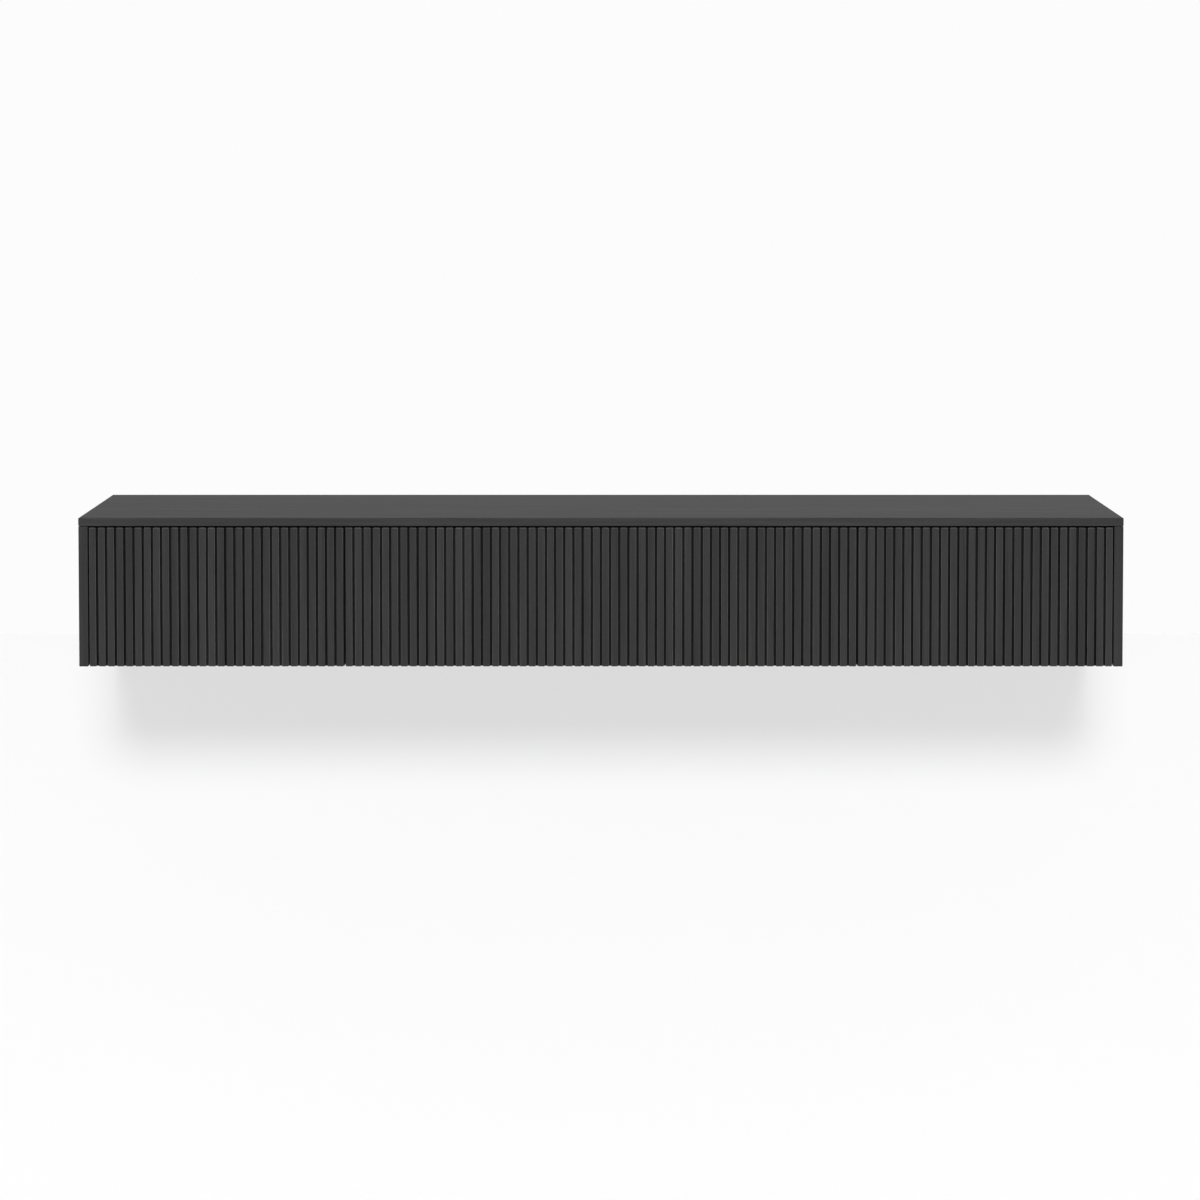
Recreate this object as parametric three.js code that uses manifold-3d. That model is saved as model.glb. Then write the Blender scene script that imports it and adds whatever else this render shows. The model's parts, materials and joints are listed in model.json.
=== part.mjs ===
// Wall-hung media console with fluted fronts: two push-open drawers beside a drop-down flap.
// Millimetres, +Z up, +X to the right, the front faces -Y, and the wall is the plane y = 0.
// The origin is the middle of the wall cleat's back face, where the console is fixed to the wall.
import * as THREE from "three";
import { mergeVertices } from "three/addons/utils/BufferGeometryUtils.js";
import Module from "manifold-3d";

const wasm = await Module();
wasm.setup();

// Overall size
const consoleWidth = 2000;
const consoleDepth = 400;
const consoleHeight = 286;

// Boards of the carcass
const topThickness = 16;
const bottomThickness = 16;
const sideThickness = 18;
const dividerThickness = 18;
const backThickness = 8;
const showArris = 1.2;
const hiddenArris = 0.4;

// Fluted fronts
const frontThickness = 25;
const fluteDepth = 8;
const fluteWidth = 5;
const slatArris = 0.5;
const drawerSlats = 28;
const flapSlats = 56;
const topShadowGap = 3;
const sideGap = 2.5;
const seamGap = 1.5;
const frontStandoff = 2;

// Hanging: bevelled cleats and spacers behind the back panel
const cleatThickness = 18;
const cleatPlay = 0.5;
const cleatFit = 0.3;
const cabinetCleatHeight = 62;
const wallCleatHeight = 50;
const wallCleatEndRoom = 82;
const wallScrewRadius = 3.5;
const wallScrewCount = 6;
const wallScrewEndInset = 60;
const spacerLength = 500;
const spacerHeight = 40;
const spacerLift = 20;

// Cable ports in the back panel and their grommets
const portRadius = 30;
const portOffset = 300;
const grommetFit = 0.3;
const grommetWall = 3;
const grommetFlangeWidth = 5;
const grommetFlangeThickness = 2;

// Drawer boxes
const boxWall = 12;
const boxLift = 12;
const boxHeadroom = 52;
const boxBottomThickness = 8;
const boxBottomRise = 12;
const boxGrooveDepth = 6;
const boxGrooveFit = 0.3;
const combFingers = 11;
const glueLine = 0.1;

// Telescopic runners, three nested channels in the space beside the box
const runnerSpace = 12.7;
const runnerHeight = 45;
const runnerSheet = 1.2;
const runnerBend = 1.2;
const runnerFit = 0.4;
const runnerFrontInset = 2;
const runnerRearRoom = 7.5;
const railLipGap = 0.5;
const railLipTurn = 1.5;
const carrierStandoff = 2;
const carrierShortfall = 10;
const slideEdgeGap = 0.8;
const runnerHoleRadius = 2.3;
const runnerHoleShares = [0.1, 0.5, 0.9];

// Push latches
const latchWidth = 20;
const latchDepth = 24;
const latchAxisHeight = 24;
const latchFlangeWidth = 44;
const latchFlangeThickness = 3;
const plungerRadius = 4;
const plungerFit = 0.3;
const plungerHeadRadius = 5.5;
const plungerHeadLength = 4;
const plungerHeadRound = 1;
const plungerInsertion = 18;
const plungerTravel = 3;
const plungerTipGap = 0.3;
const latchHoleRadius = 2;
const strikeRadius = 8;
const strikeThickness = 1.5;
const strikeArris = 0.4;
const flapLatchInset = 70;

// Flap hinges, let into pockets in the lower edge of the flap
const hingeInset = 130;
const hingeLength = 56;
const hingePocketPlay = 2;
const hingeAxisSetback = 8;
const knuckleRadius = 4;
const knuckleLength = 16;
const knuckleGap = 0.3;
const knuckleRoom = 1.5;
const hingePinRadius = 2;
const hingePinFit = 0.3;
const leafThickness = 1.5;
const leafMargin = 1;
const leafWeb = 3;
const flapLeafHeight = 32;
const flapLeafFit = 0.3;
const flapHeelBevel = 3.5;
const leafHoleRadius = 2.2;
const leafHoleInset = 8;

// Round forms and cuts
const roundSegments = 32;
const smallRoundSegments = 20;
const holeSegments = 12;
const bendSteps = 3;
const cutOverrun = 1;

// Places worked out from the sizes above, with z counted from the underside of the console
const sideInner = consoleWidth / 2 - sideThickness;
const frontPlane = -consoleDepth;
const frontBack = frontPlane + frontThickness;
const carcassFront = frontBack + frontStandoff;
const backRear = -(cleatThickness + cleatPlay);
const backFront = backRear - backThickness;
const topUnderside = consoleHeight - topThickness;
const frontHeight = topUnderside - topShadowGap;
const slatCount = 2 * drawerSlats + flapSlats;
const frontsWidth = 2 * (sideInner - sideGap);
const slatWidth = (frontsWidth - (slatCount - 1) * fluteWidth) / slatCount;
const slatPitch = slatWidth + fluteWidth;
const seamPlace = flapSlats * slatPitch / 2;
const cabinetCleatLower = topUnderside - cabinetCleatHeight;
const wallCleatUpper = cabinetCleatLower - cleatThickness - cleatFit * 2;
const wallCleatLower = wallCleatUpper - wallCleatHeight;
const wallCleatMiddle = (wallCleatUpper + wallCleatLower) / 2;
const wallCleatLength = 2 * (sideInner - wallCleatEndRoom);
const portHeight = (spacerLift + spacerHeight + wallCleatLower) / 2;
const seamBase = (fluteWidth - seamGap) / 2;
const plungerReach = plungerTravel + plungerTipGap + plungerHeadLength;
const boxLower = bottomThickness + boxLift;
const boxHeight = topUnderside - boxHeadroom - boxLower;
const boxDepth = backFront - latchDepth - plungerReach - plungerTipGap - frontBack;
const runnerLength = backFront - runnerRearRoom - runnerFrontInset - carcassFront;
const hingeY = frontBack - hingeAxisSetback;
const hingeZ = bottomThickness - hingeAxisSetback;
const pocketReach = knuckleRadius + knuckleRoom;

// Finishes
function finish(color, roughness, metalness) {
  return new THREE.MeshStandardMaterial({ color, roughness, metalness });
}
const charcoalWood = finish(0x3b3b3b, 0.55, 0);
const carcassWood = finish(0x303030, 0.6, 0);
const birchPly = finish(0xc9a87c, 0.6, 0);
const zincSteel = finish(0xb9bcc0, 0.35, 1);
const nickelSteel = finish(0xa8a6a0, 0.3, 1);
const greyPlastic = finish(0x55585c, 0.5, 0);
const blackPlastic = finish(0x1c1c1e, 0.45, 0);
const paleRubber = finish(0xd8d6d0, 0.7, 0);

// The console stands in its own group, lowered so that the wall cleat's middle is the origin
const root = new THREE.Group();
const cabinet = new THREE.Group();
cabinet.position.z = -wallCleatMiddle;
root.add(cabinet);

const axisX = new THREE.Vector3(1, 0, 0);
const axisY = new THREE.Vector3(0, 1, 0);
const axisZ = new THREE.Vector3(0, 0, 1);

// Adds one named piece at a place in the cabinet
function place(name, geometry, material, x = 0, y = 0, z = 0) {
  const mesh = new THREE.Mesh(geometry, material);
  mesh.name = name;
  mesh.position.set(x, y, z);
  cabinet.add(mesh);
  return mesh;
}

// Closed outline from a list of [across, up] points
function outline(points) {
  return new THREE.Shape(points.map(([across, up]) => new THREE.Vector2(across, up)));
}

function plainExtrude(shape, depth, segments = roundSegments) {
  return new THREE.ExtrudeGeometry(shape, { depth, bevelEnabled: false, curveSegments: segments });
}

// A section drawn in (y, z) and drawn out along +X
function extrudeAlongX(shape, length, segments) {
  const turn = new THREE.Matrix4().makeBasis(axisY, axisZ, axisX);
  return plainExtrude(shape, length, segments).applyMatrix4(turn);
}

// A section drawn in (x, z) and drawn out along -Y
function extrudeAlongY(shape, length, segments) {
  const turn = new THREE.Matrix4().makeBasis(axisX, axisZ, axisY.clone().negate());
  return plainExtrude(shape, length, segments).applyMatrix4(turn);
}

// Solids for cutting and joining
function toSolid(geometry) {
  const bare = geometry.clone();
  bare.deleteAttribute("normal");
  bare.deleteAttribute("uv");
  const merged = mergeVertices(bare);
  const vertProperties = new Float32Array(merged.attributes.position.array);
  const triVerts = new Uint32Array(merged.index.array);
  return new wasm.Manifold(new wasm.Mesh({ numProp: 3, vertProperties, triVerts }));
}

function toGeometry(solid) {
  const mesh = solid.getMesh();
  const geometry = new THREE.BufferGeometry();
  geometry.setAttribute("position", new THREE.BufferAttribute(mesh.vertProperties, mesh.numProp));
  geometry.setIndex(new THREE.BufferAttribute(mesh.triVerts, 1));
  geometry.computeVertexNormals();
  return geometry;
}

function cut(geometry, tools) {
  return toGeometry(tools.reduce((solid, tool) => solid.subtract(toSolid(tool)), toSolid(geometry)));
}

function join(geometries) {
  const [first, ...others] = geometries.map(toSolid);
  return toGeometry(others.reduce((solid, other) => solid.add(other), first));
}

// A round hole's cutter, centred, through sheet or board of the given thickness
function drill(direction, radius, thickness) {
  const cutter = new THREE.CylinderGeometry(radius, radius, thickness + 2 * cutOverrun, holeSegments);
  const turns = { x: [axisZ, axisX, axisY], y: [axisX, axisY, axisZ], z: [axisY, axisZ, axisX] };
  return cutter.applyMatrix4(new THREE.Matrix4().makeBasis(...turns[direction]));
}

// A block between low and high values on each axis
function block([x0, x1], [y0, y1], [z0, z1]) {
  const geometry = new THREE.BoxGeometry(x1 - x0, y1 - y0, z1 - z0);
  return geometry.translate((x0 + x1) / 2, (y0 + y1) / 2, (z0 + z1) / 2);
}

// A board with its long edges eased, flat across the axis named by its thinnest side
function board([x0, x1], [y0, y1], [z0, z1], flatAcross, arris) {
  const size = { x: x1 - x0, y: y1 - y0, z: z1 - z0 };
  const faces = { x: ["y", "z"], y: ["z", "x"], z: ["x", "y"] };
  const axes = { x: axisX, y: axisY, z: axisZ };
  const [across, up] = faces[flatAcross];
  const halfAcross = size[across] / 2;
  const halfUp = size[up] / 2;
  const face = outline([
    [-halfAcross, -halfUp], [halfAcross, -halfUp], [halfAcross, halfUp], [-halfAcross, halfUp],
  ]);
  const geometry = new THREE.ExtrudeGeometry(face, {
    depth: size[flatAcross] - 2 * arris,
    bevelEnabled: true,
    bevelThickness: arris,
    bevelSize: arris,
    bevelOffset: -arris,
    bevelSegments: 1,
  });
  geometry.translate(0, 0, arris - size[flatAcross] / 2);
  geometry.applyMatrix4(new THREE.Matrix4().makeBasis(axes[across], axes[up], axes[flatAcross]));
  return geometry.translate((x0 + x1) / 2, (y0 + y1) / 2, (z0 + z1) / 2);
}

// Carcass
function addCarcass() {
  const wide = [-consoleWidth / 2, consoleWidth / 2];
  const between = [-sideInner, sideInner];
  const deep = [frontPlane, 0];
  const inside = [carcassFront, backFront];
  place("top_panel", board(wide, deep, [topUnderside, consoleHeight], "z", showArris), charcoalWood);
  for (const [name, sign] of [["left", -1], ["right", 1]]) {
    const outerX = sign * consoleWidth / 2;
    const innerX = sign * sideInner;
    const across = [Math.min(outerX, innerX), Math.max(outerX, innerX)];
    place(`side_panel_${name}`, board(across, deep, [0, topUnderside], "x", showArris), charcoalWood);
    const middle = sign * seamPlace;
    const dividerAcross = [middle - dividerThickness / 2, middle + dividerThickness / 2];
    const dividerUp = [bottomThickness, topUnderside];
    place(`divider_${name}`, board(dividerAcross, inside, dividerUp, "x", hiddenArris), carcassWood);
  }
  place("bottom_panel", board(between, inside, [0, bottomThickness], "z", hiddenArris), carcassWood);

  const back = outline([
    [-sideInner, 0], [sideInner, 0], [sideInner, topUnderside], [-sideInner, topUnderside],
  ]);
  for (const sign of [-1, 1]) {
    const port = new THREE.Path();
    port.absarc(sign * portOffset, portHeight, portRadius, 0, 2 * Math.PI, true);
    back.holes.push(port);
  }
  place("back_panel", extrudeAlongY(back, backThickness), carcassWood, 0, backRear);
}

// Grommet ring: a sleeve through the port with a flange on the bay side
function addGrommets() {
  const sleeve = portRadius - grommetFit;
  const bore = sleeve - grommetWall;
  const flange = portRadius + grommetFlangeWidth;
  const face = -(backThickness + grommetFlangeThickness);
  const ease = grommetFlangeThickness / 2;
  const section = [
    [bore, 0], [bore, face + ease], [bore + ease, face], [flange - ease, face], [flange, face + ease],
    [flange, -backThickness], [sleeve, -backThickness], [sleeve, 0], [bore, 0],
  ].map(([radius, along]) => new THREE.Vector2(radius, along));
  for (const [name, sign] of [["left", -1], ["right", 1]]) {
    const ring = new THREE.LatheGeometry(section, roundSegments);
    place(`cable_grommet_${name}`, ring, blackPlastic, sign * portOffset, backRear, portHeight);
  }
}

// Hanging parts: the cabinet cleat hooks over the bevel of the wall cleat
function addHanging() {
  const cabinetSection = outline([
    [-cleatThickness, 0], [0, -cleatThickness],
    [0, cabinetCleatHeight], [-cleatThickness, cabinetCleatHeight],
  ]);
  const cabinetCleat = extrudeAlongX(cabinetSection, 2 * sideInner);
  place("cabinet_cleat", cabinetCleat, birchPly, -sideInner, -cleatPlay, cabinetCleatLower);

  const wallSection = outline([
    [-cleatThickness, 0], [0, 0], [0, wallCleatHeight], [-cleatThickness, wallCleatHeight + cleatThickness],
  ]);
  const screwSpan = wallCleatLength - 2 * wallScrewEndInset;
  const screwHoles = Array.from({ length: wallScrewCount }, (_, index) => {
    const along = wallScrewEndInset + screwSpan * index / (wallScrewCount - 1);
    const hole = drill("y", wallScrewRadius, cleatThickness);
    return hole.translate(along, -cleatThickness / 2, wallCleatHeight / 2);
  });
  const wallCleat = cut(extrudeAlongX(wallSection, wallCleatLength), screwHoles);
  place("wall_cleat", wallCleat, birchPly, -wallCleatLength / 2, 0, wallCleatLower);

  for (const [name, sign] of [["left", -1], ["right", 1]]) {
    const ends = [sign * sideInner, sign * (sideInner - spacerLength)];
    const across = [Math.min(...ends), Math.max(...ends)];
    const up = [spacerLift, spacerLift + spacerHeight];
    place(`wall_spacer_${name}`, board(across, [backRear, 0], up, "y", hiddenArris), birchPly);
  }
}

// Plan outline of a fluted front: slats stand proud of a base that is a little wider at a seam
function frontOutline(slats, leftBase, rightBase) {
  const baseFace = frontPlane + fluteDepth;
  const width = slats * slatPitch - fluteWidth;
  const points = [[-leftBase, frontBack], [-leftBase, baseFace]];
  for (let index = 0; index < slats; index += 1) {
    const start = index * slatPitch;
    const end = start + slatWidth;
    if (index > 0 || leftBase > 0) points.push([start, baseFace]);
    points.push([start, frontPlane + slatArris], [start + slatArris, frontPlane]);
    points.push([end - slatArris, frontPlane], [end, frontPlane + slatArris]);
    if (index < slats - 1 || rightBase > 0) points.push([end, baseFace]);
  }
  if (rightBase > 0) points.push([width + rightBase, baseFace]);
  points.push([width + rightBase, frontBack]);
  return outline(points);
}

// Side elevation of a comb-jointed board, with fingers at both ends where parity says
function combOutline(length, parity) {
  const step = boxHeight / combFingers;
  const reach = length / 2;
  const setback = reach - boxWall - glueLine;
  const rightEnd = [];
  for (let index = 0; index < combFingers; index += 1) {
    const isFinger = index % 2 === parity;
    const shrink = isFinger ? glueLine / 2 : -glueLine / 2;
    const low = index === 0 ? 0 : index * step + shrink;
    const high = index === combFingers - 1 ? boxHeight : (index + 1) * step - shrink;
    const end = isFinger ? reach : setback;
    rightEnd.push([end, low], [end, high]);
  }
  const leftEnd = rightEnd.map(([along, up]) => [-along, up]).reverse();
  return outline([...rightEnd, ...leftEnd]);
}

// Outline of bent sheet: a centre line widened to both sides, its right-angle corners rolled round
function bentSheet(line) {
  const corners = line.map(([across, up]) => new THREE.Vector2(across, up));
  const left = [];
  const right = [];
  corners.forEach((corner, index) => {
    const isFirst = index === 0;
    const isLast = index === corners.length - 1;
    const onward = isLast ? null : corners[index + 1].clone().sub(corner).normalize();
    const along = isFirst ? onward : corner.clone().sub(corners[index - 1]).normalize();
    if (isFirst || isLast) {
      const aside = new THREE.Vector2(-along.y, along.x).multiplyScalar(runnerSheet / 2);
      left.push(corner.clone().add(aside));
      right.push(corner.clone().sub(aside));
      return;
    }
    const turn = Math.sign(along.cross(onward));
    const centre = corner.clone().addScaledVector(along, -runnerBend).addScaledVector(onward, runnerBend);
    for (let step = 0; step <= bendSteps; step += 1) {
      const angle = (Math.PI / 2) * (step / bendSteps);
      const ray = onward.clone().multiplyScalar(-Math.cos(angle)).addScaledVector(along, Math.sin(angle));
      left.push(centre.clone().addScaledVector(ray, runnerBend - turn * runnerSheet / 2));
      right.push(centre.clone().addScaledVector(ray, runnerBend + turn * runnerSheet / 2));
    }
  });
  return new THREE.Shape([...left.reverse(), ...right]);
}

// Telescopic runner: a lipped rail on the cabinet, a slide on the box and a carrier nested between
function addRunner(prefix, wallX, sign) {
  const middle = runnerSheet / 2;
  const railUp = runnerHeight / 2 - middle;
  const carrierUp = railUp - runnerSheet - runnerFit;
  const slideUp = carrierUp - runnerSheet - runnerFit;
  const railOut = runnerSpace - runnerSheet - railLipGap;
  const carrierOut = railOut - runnerSheet - runnerFit;
  const slideIn = carrierStandoff + runnerSheet + slideEdgeGap;
  const lipUp = railUp - middle - railLipTurn;
  const lines = {
    rail: [[railOut - middle, lipUp], [railOut - middle, railUp], [middle, railUp],
      [middle, -railUp], [railOut - middle, -railUp], [railOut - middle, -lipUp]],
    carrier: [[carrierOut, carrierUp], [carrierStandoff + middle, carrierUp],
      [carrierStandoff + middle, -carrierUp], [carrierOut, -carrierUp]],
    slide: [[slideIn, slideUp], [runnerSpace - middle, slideUp],
      [runnerSpace - middle, -slideUp], [slideIn, -slideUp]],
  };
  const webs = { rail: middle, slide: runnerSpace - middle };
  const front = carcassFront + runnerFrontInset;
  for (const [member, line] of Object.entries(lines)) {
    const setback = member === "carrier" ? carrierShortfall / 2 : 0;
    const section = bentSheet(line.map(([out, up]) => [sign * out, up]));
    const channel = extrudeAlongY(section, runnerLength - 2 * setback);
    const holes = runnerHoleShares.filter(() => member in webs).map((share) => {
      const hole = drill("x", runnerHoleRadius, runnerSheet);
      return hole.translate(sign * webs[member], -share * runnerLength, 0);
    });
    const rear = front + runnerLength - setback;
    const height = boxLower + boxHeight / 2;
    place(`${prefix}_runner_${member}`, cut(channel, holes), zincSteel, wallX, rear, height);
  }
}

// Push latch: an arched housing on a flange, bored for the plunger; up is -1 under the top
function addLatch(prefix, x, housingFront, seatZ, up) {
  const half = up * latchWidth / 2;
  const flangeHalf = up * latchFlangeWidth / 2;
  const flangeTop = up * latchFlangeThickness;
  const start = up > 0 ? 0 : Math.PI;
  const housing = new THREE.Shape();
  housing.moveTo(-flangeHalf, 0);
  housing.lineTo(flangeHalf, 0);
  housing.lineTo(flangeHalf, flangeTop);
  housing.lineTo(half, flangeTop);
  housing.absarc(0, up * latchAxisHeight, latchWidth / 2, start, start + Math.PI, false);
  housing.lineTo(-half, flangeTop);
  housing.lineTo(-flangeHalf, flangeTop);
  const bore = new THREE.Path();
  bore.absarc(0, up * latchAxisHeight, plungerRadius + plungerFit, 0, 2 * Math.PI, true);
  housing.holes.push(bore);
  const screwPlace = (latchWidth + latchFlangeWidth) / 4;
  const screwHoles = [-screwPlace, screwPlace].map((across) => (
    drill("z", latchHoleRadius, latchFlangeThickness).translate(across, -latchDepth / 2, flangeTop / 2)));
  const body = cut(extrudeAlongY(housing, latchDepth, smallRoundSegments), screwHoles);
  place(`${prefix}_latch_housing`, body, greyPlastic, x, housingFront + latchDepth, seatZ);

  const headBack = -(plungerTravel + plungerTipGap);
  const tip = headBack - plungerHeadLength;
  const profile = [
    [0, tip], [plungerHeadRadius - plungerHeadRound, tip], [plungerHeadRadius, tip + plungerHeadRound],
    [plungerHeadRadius, headBack], [plungerRadius, headBack], [plungerRadius, plungerInsertion],
    [0, plungerInsertion],
  ].map(([radius, along]) => new THREE.Vector2(radius, along));
  const plunger = new THREE.LatheGeometry(profile, smallRoundSegments);
  place(`${prefix}_latch_plunger`, plunger, paleRubber, x, housingFront, seatZ + up * latchAxisHeight);
}

// Drawer: fluted front, comb-jointed box, two runners and a push latch
function addDrawer(name, sign) {
  const prefix = `${name}_drawer`;
  const bayOuter = sign * sideInner;
  const bayInner = sign * (seamPlace + dividerThickness / 2);
  const bayMiddle = (bayOuter + bayInner) / 2;
  const boxWidth = sideInner - seamPlace - dividerThickness / 2 - 2 * runnerSpace;
  const boxMiddle = frontBack + boxDepth / 2;

  const leftBase = sign > 0 ? seamBase : 0;
  const rightBase = sign > 0 ? 0 : seamBase;
  const frontStart = sign > 0 ? seamPlace + fluteWidth / 2 : -frontsWidth / 2;
  const front = plainExtrude(frontOutline(drawerSlats, leftBase, rightBase), frontHeight);
  place(`${prefix}_front`, front, charcoalWood, frontStart);

  const floorHalfX = boxWidth / 2 - boxWall + boxGrooveDepth - boxGrooveFit;
  const floorHalfY = boxDepth / 2 - boxWall + boxGrooveDepth - boxGrooveFit;
  const floorUp = [boxBottomRise, boxBottomRise + boxBottomThickness];
  const floor = block([-floorHalfX, floorHalfX], [-floorHalfY, floorHalfY], floorUp);
  place(`${prefix}_box_bottom`, floor, birchPly, bayMiddle, boxMiddle, boxLower);

  const groove = block(
    [-floorHalfX - boxGrooveFit, floorHalfX + boxGrooveFit],
    [-floorHalfY - boxGrooveFit, floorHalfY + boxGrooveFit],
    [floorUp[0] - boxGrooveFit, floorUp[1] + boxGrooveFit]);
  const sideBoard = extrudeAlongX(combOutline(boxDepth, 0), boxWall);
  const endBoard = extrudeAlongY(combOutline(boxWidth, 1), boxWall);
  const walls = {
    box_side_panel_side: sideBoard.clone().translate(sign > 0 ? boxWidth / 2 - boxWall : -boxWidth / 2, 0, 0),
    box_divider_side: sideBoard.clone().translate(sign > 0 ? -boxWidth / 2 : boxWidth / 2 - boxWall, 0, 0),
    box_front: endBoard.clone().translate(0, -boxDepth / 2 + boxWall, 0),
    box_back: endBoard.clone().translate(0, boxDepth / 2, 0),
  };
  for (const [wall, geometry] of Object.entries(walls)) {
    place(`${prefix}_${wall}`, cut(geometry, [groove]), birchPly, bayMiddle, boxMiddle, boxLower);
  }

  addRunner(`${prefix}_side`, bayOuter, -sign);
  addRunner(`${prefix}_divider`, bayInner, sign);
  addLatch(prefix, bayMiddle, backFront - latchDepth, bottomThickness, 1);
}

// Flap: fluted front with a bevelled heel and two hinge pockets
function addFlap() {
  const width = flapSlats * slatPitch - fluteWidth;
  const start = -width / 2;
  const front = plainExtrude(frontOutline(flapSlats, seamBase, seamBase), frontHeight);
  front.translate(start, 0, 0);
  const heel = extrudeAlongX(outline([
    [frontBack + cutOverrun, -cutOverrun], [frontBack + cutOverrun, flapHeelBevel + cutOverrun],
    [frontBack - flapHeelBevel - cutOverrun, -cutOverrun],
  ]), width + 2 * (seamBase + cutOverrun));
  heel.translate(start - seamBase - cutOverrun, 0, 0);
  const cuts = [heel];
  for (const sign of [-1, 1]) {
    const middle = sign * (width / 2 - hingeInset);
    const pocketHalf = hingeLength / 2 + hingePocketPlay;
    const pocketAcross = [middle - pocketHalf, middle + pocketHalf];
    cuts.push(block(pocketAcross, [hingeY - pocketReach, frontBack + cutOverrun],
      [-cutOverrun, hingeZ + pocketReach]));
    const recessHalf = hingeLength / 2 + flapLeafFit;
    cuts.push(block([middle - recessHalf, middle + recessHalf],
      [frontBack - leafThickness - flapLeafFit, frontBack + cutOverrun],
      [hingeZ, hingeZ + pocketReach + flapLeafHeight + flapLeafFit]));
  }
  place("flap_front", cut(front, cuts), charcoalWood);

  for (const [name, sign] of [["left", -1], ["right", 1]]) {
    addHinge(name, sign * (width / 2 - hingeInset));
    const latchX = sign * (width / 2 - flapLatchInset);
    const strikeFace = frontBack + strikeThickness;
    const latchFront = strikeFace + plungerTipGap + plungerReach;
    addLatch(`flap_${name}`, latchX, latchFront, topUnderside, -1);
    const strike = new THREE.LatheGeometry([
      [0, 0], [strikeRadius, 0], [strikeRadius, strikeThickness - strikeArris],
      [strikeRadius - strikeArris, strikeThickness], [0, strikeThickness],
    ].map(([radius, along]) => new THREE.Vector2(radius, along)), smallRoundSegments);
    place(`flap_${name}_latch_strike`, strike, zincSteel, latchX, frontBack, topUnderside - latchAxisHeight);
  }
}

// Hinge: knuckles around a pin, drawn in (y, z) about the pin's axis. The axis lies as far below the
// top of the bottom panel as it lies in front of the flap's back, so the open flap lies level with it.
function knuckle(length, startX) {
  const ring = new THREE.Shape();
  ring.absarc(0, 0, knuckleRadius, 0, 2 * Math.PI, false);
  const bore = new THREE.Path();
  bore.absarc(0, 0, hingePinRadius + hingePinFit, 0, 2 * Math.PI, true);
  ring.holes.push(bore);
  return extrudeAlongX(ring, length, smallRoundSegments).translate(startX, 0, 0);
}

function addHinge(name, middle) {
  const half = hingeLength / 2;
  const plateRear = carcassFront - hingeY;
  const plateFront = plateRear - leafThickness;
  const webStart = (knuckleRadius + hingePinRadius + hingePinFit) / 2;
  const cabinetPieces = [
    block([-half, half], [plateFront, plateRear],
      [leafMargin - hingeZ, bottomThickness - leafMargin - hingeZ]),
  ];
  for (const startX of [-half, half - knuckleLength]) {
    cabinetPieces.push(knuckle(knuckleLength, startX));
    cabinetPieces.push(block([startX, startX + knuckleLength], [webStart, plateFront + leafThickness / 2],
      [-leafWeb / 2, leafWeb / 2]));
  }
  const cabinetHole = drill("y", leafHoleRadius, leafThickness);
  cabinetHole.translate(0, (plateFront + plateRear) / 2, 0);
  const cabinetLeaf = cut(join(cabinetPieces), [cabinetHole]);
  place(`flap_hinge_${name}_cabinet_leaf`, cabinetLeaf, nickelSteel, middle, hingeY, hingeZ);

  const flapKnuckleHalf = half - knuckleLength - knuckleGap;
  const leafRear = frontBack - hingeY;
  const leafLower = pocketReach;
  const flapPieces = [
    block([-half, half], [leafRear - leafThickness, leafRear], [leafLower, leafLower + flapLeafHeight]),
    knuckle(2 * flapKnuckleHalf, -flapKnuckleHalf),
    block([-flapKnuckleHalf, flapKnuckleHalf], [webStart, leafRear], [-leafWeb / 2, leafWeb / 2]),
    block([-flapKnuckleHalf, flapKnuckleHalf], [leafRear - leafThickness, leafRear],
      [-leafWeb / 2, leafLower + leafThickness]),
  ];
  const flapHoles = [leafHoleInset - half, 0, half - leafHoleInset].map((along) => {
    const hole = drill("y", leafHoleRadius, leafThickness);
    return hole.translate(along, leafRear - leafThickness / 2, leafLower + flapLeafHeight / 2);
  });
  const flapLeaf = cut(join(flapPieces), flapHoles);
  place(`flap_hinge_${name}_flap_leaf`, flapLeaf, nickelSteel, middle, hingeY, hingeZ);

  const pin = new THREE.CylinderGeometry(hingePinRadius, hingePinRadius, hingeLength, smallRoundSegments);
  pin.applyMatrix4(new THREE.Matrix4().makeBasis(axisZ, axisX, axisY));
  place(`flap_hinge_${name}_pin`, pin, zincSteel, middle, hingeY, hingeZ);
}

addCarcass();
addGrommets();
addHanging();
addDrawer("left", -1);
addDrawer("right", 1);
addFlap();

export default root;
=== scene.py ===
# %% [markdown]
# A wall-hung media console, two metres wide, in charcoal-stained wood. Its front is cut into 112 narrow
# upright slats, and three fronts hide in that rhythm: a push-open drawer at each end and a flap between
# them. The construction is already there as a fixed frame of named solids, so this lesson only dresses
# it: the camera first, then the finishes, then the eased edges and the screws, and last the light and the
# paper behind it.
# Everything is in metres. +X runs to the right along the wall, the fronts face -Y and +Z is up.

# %% Load the frame
import json
from math import cos, pi, radians, sin, tau

import bmesh
import bpy
from mathutils import Matrix, Vector


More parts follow.
